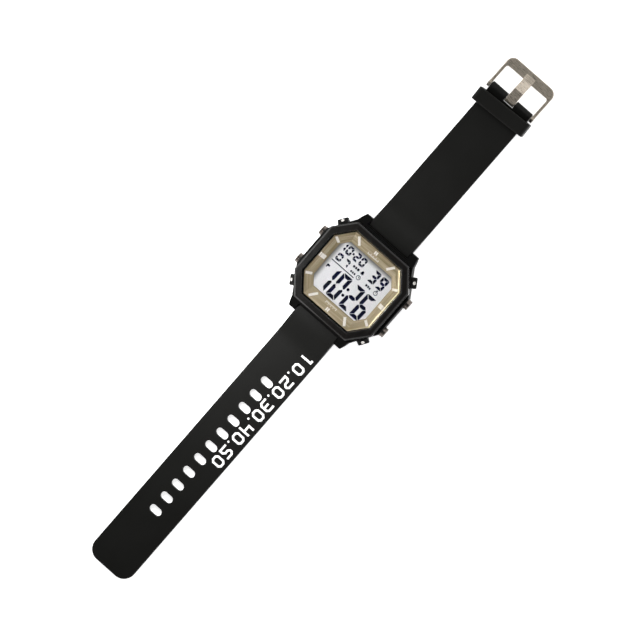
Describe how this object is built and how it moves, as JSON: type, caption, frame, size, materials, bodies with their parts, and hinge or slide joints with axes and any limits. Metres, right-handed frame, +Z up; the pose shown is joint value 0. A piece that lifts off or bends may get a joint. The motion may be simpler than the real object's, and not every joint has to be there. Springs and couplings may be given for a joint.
{
  "type": "digital wristwatch",
  "caption": "Open wristwatch with an eight-sided case, digital display, push buttons and a slotted resin strap with pin buckle and keeper.",
  "frame": {"origin": "centre of the case back's flat outer face, which lies on the table", "axes": "+Y towards twelve o'clock and the buckle, +X towards three o'clock, +Z up out of the face"},
  "size_m": [0.0452, 0.2523, 0.012],
  "materials": {
    "case_resin": "satin black moulded resin",
    "bezel_resin": "glossy black moulded resin",
    "crystal_glass": "clear flat mineral glass",
    "seal_rubber": "black nitrile rubber",
    "ring_champagne": "champagne metallic, satin",
    "marker_metal": "pale bright metal",
    "screw_steel": "bright steel",
    "back_steel": "brushed stainless steel",
    "module_plastic": "white moulded plastic",
    "display_glass": "liquid crystal cell",
    "display_face": "pale grey polariser film",
    "reflector_film": "silvered film",
    "guide_acrylic": "clear acrylic",
    "strip_rubber": "striped conductive silicone",
    "board_laminate": "green solder mask on laminate",
    "chip_resin": "black epoxy",
    "quartz_can": "tin plated can",
    "led_plastic": "yellowish white",
    "battery_steel": "nickel plated steel",
    "contact_metal": "gold plated phosphor bronze",
    "buzzer_brass": "brass disc",
    "button_metal": "polished gunmetal plating",
    "spring_steel": "spring wire",
    "bar_steel": "stainless steel",
    "strap_resin": "matt black strap resin",
    "buckle_steel": "brushed stainless steel"
  },
  "bodies": {
    "case": {"mid_case": "case_resin", "bezel": "bezel_resin", "crystal": "crystal_glass", "crystal_gasket": "seal_rubber", "dial_ring": "ring_champagne", "hour_markers": "marker_metal", "corner_screws": "screw_steel", "case_back": "back_steel", "back_gasket": "seal_rubber", "case_back_screws": "screw_steel", "module_frame": "module_plastic", "lcd_cell": "display_glass", "front_polariser": "display_face", "rear_reflector": "reflector_film", "light_guide": "guide_acrylic", "connector_strips": "strip_rubber", "circuit_board": "board_laminate", "driver_chip": "chip_resin", "quartz_crystal": "quartz_can", "backlight_led": "led_plastic", "battery_cell": "battery_steel", "battery_contact": "contact_metal", "battery_clamp": "contact_metal", "button_contacts": "contact_metal", "buzzer_disc": "buzzer_brass", "buzzer_spring": "spring_steel", "start_spring": "spring_steel", "light_spring": "spring_steel", "reset_spring": "spring_steel", "mode_spring": "spring_steel", "upper_bar_tube": "bar_steel", "upper_bar_spring": "spring_steel", "lower_bar_tube": "bar_steel", "lower_bar_spring": "spring_steel"},
    "upper_strap": {"strap_upper": "strap_resin", "buckle_bar_tube": "bar_steel", "buckle_bar_spring": "spring_steel"},
    "lower_strap": {"strap_lower": "strap_resin"},
    "keeper": {"strap_keeper": "strap_resin"},
    "buckle_frame": {"buckle_frame": "buckle_steel"},
    "buckle_tongue": {"buckle_tongue": "buckle_steel"},
    "start_button": {"start_pusher": "button_metal", "start_clip": "screw_steel", "start_seals": "seal_rubber"},
    "light_button": {"light_pusher": "button_metal", "light_clip": "screw_steel", "light_seals": "seal_rubber"},
    "reset_button": {"reset_pusher": "button_metal", "reset_clip": "screw_steel", "reset_seals": "seal_rubber"},
    "mode_button": {"mode_pusher": "button_metal", "mode_clip": "screw_steel", "mode_seals": "seal_rubber"},
    "upper_bar_right_tip": {"upper_bar_right_tip": "bar_steel"},
    "upper_bar_left_tip": {"upper_bar_left_tip": "bar_steel"},
    "lower_bar_right_tip": {"lower_bar_right_tip": "bar_steel"},
    "lower_bar_left_tip": {"lower_bar_left_tip": "bar_steel"},
    "buckle_bar_right_tip": {"buckle_bar_right_tip": "bar_steel"},
    "buckle_bar_left_tip": {"buckle_bar_left_tip": "bar_steel"}
  },
  "joints": [
    {"name": "upper_strap_hinge", "type": "hinge", "parent": "case", "child": "upper_strap", "pos_m": [0, 0.0206, 0.0034], "axis": [1, 0, 0], "range_deg": [-75, 30]},
    {"name": "lower_strap_hinge", "type": "hinge", "parent": "case", "child": "lower_strap", "pos_m": [0, -0.0206, 0.0034], "axis": [-1, 0, 0], "range_deg": [-75, 30]},
    {"name": "keeper_slide", "type": "slide", "parent": "upper_strap", "child": "keeper", "axis": [0, 1, 0], "range_m": [-0.04, 0]},
    {"name": "buckle_frame_hinge", "type": "hinge", "parent": "upper_strap", "child": "buckle_frame", "pos_m": [0, 0.09175, 0.0027], "axis": [1, 0, 0], "range_deg": [-60, 15]},
    {"name": "buckle_tongue_hinge", "type": "hinge", "parent": "buckle_frame", "child": "buckle_tongue", "pos_m": [0, 0.09175, 0.0027], "axis": [1, 0, 0], "range_deg": [0, 80]},
    {"name": "start_press", "type": "slide", "parent": "case", "child": "start_button", "axis": [-1, 0, 0], "range_m": [0, 0.0008], "stiffness_N_per_m": 800, "springref_m": -0.001, "deforming": ["start_spring"]},
    {"name": "light_press", "type": "slide", "parent": "case", "child": "light_button", "axis": [1, 0, 0], "range_m": [0, 0.0008], "stiffness_N_per_m": 800, "springref_m": -0.001, "deforming": ["light_spring"]},
    {"name": "reset_press", "type": "slide", "parent": "case", "child": "reset_button", "axis": [-1, 0, 0], "range_m": [0, 0.0008], "stiffness_N_per_m": 800, "springref_m": -0.001, "deforming": ["reset_spring"]},
    {"name": "mode_press", "type": "slide", "parent": "case", "child": "mode_button", "axis": [1, 0, 0], "range_m": [0, 0.0008], "stiffness_N_per_m": 800, "springref_m": -0.001, "deforming": ["mode_spring"]},
    {"name": "upper_bar_right_tip_slide", "type": "slide", "parent": "case", "child": "upper_bar_right_tip", "axis": [-1, 0, 0], "range_m": [0, 0.0011], "stiffness_N_per_m": 300, "springref_m": -0.002, "deforming": ["upper_bar_spring"]},
    {"name": "upper_bar_left_tip_slide", "type": "slide", "parent": "case", "child": "upper_bar_left_tip", "axis": [1, 0, 0], "range_m": [0, 0.0011], "stiffness_N_per_m": 300, "springref_m": -0.002, "deforming": ["upper_bar_spring"]},
    {"name": "lower_bar_right_tip_slide", "type": "slide", "parent": "case", "child": "lower_bar_right_tip", "axis": [-1, 0, 0], "range_m": [0, 0.0011], "stiffness_N_per_m": 300, "springref_m": -0.002, "deforming": ["lower_bar_spring"]},
    {"name": "lower_bar_left_tip_slide", "type": "slide", "parent": "case", "child": "lower_bar_left_tip", "axis": [1, 0, 0], "range_m": [0, 0.0011], "stiffness_N_per_m": 300, "springref_m": -0.002, "deforming": ["lower_bar_spring"]},
    {"name": "buckle_bar_right_tip_slide", "type": "slide", "parent": "upper_strap", "child": "buckle_bar_right_tip", "axis": [-1, 0, 0], "range_m": [0, 0.0011], "stiffness_N_per_m": 300, "springref_m": -0.002, "deforming": ["buckle_bar_spring"]},
    {"name": "buckle_bar_left_tip_slide", "type": "slide", "parent": "upper_strap", "child": "buckle_bar_left_tip", "axis": [1, 0, 0], "range_m": [0, 0.0011], "stiffness_N_per_m": 300, "springref_m": -0.002, "deforming": ["buckle_bar_spring"]}
  ]
}
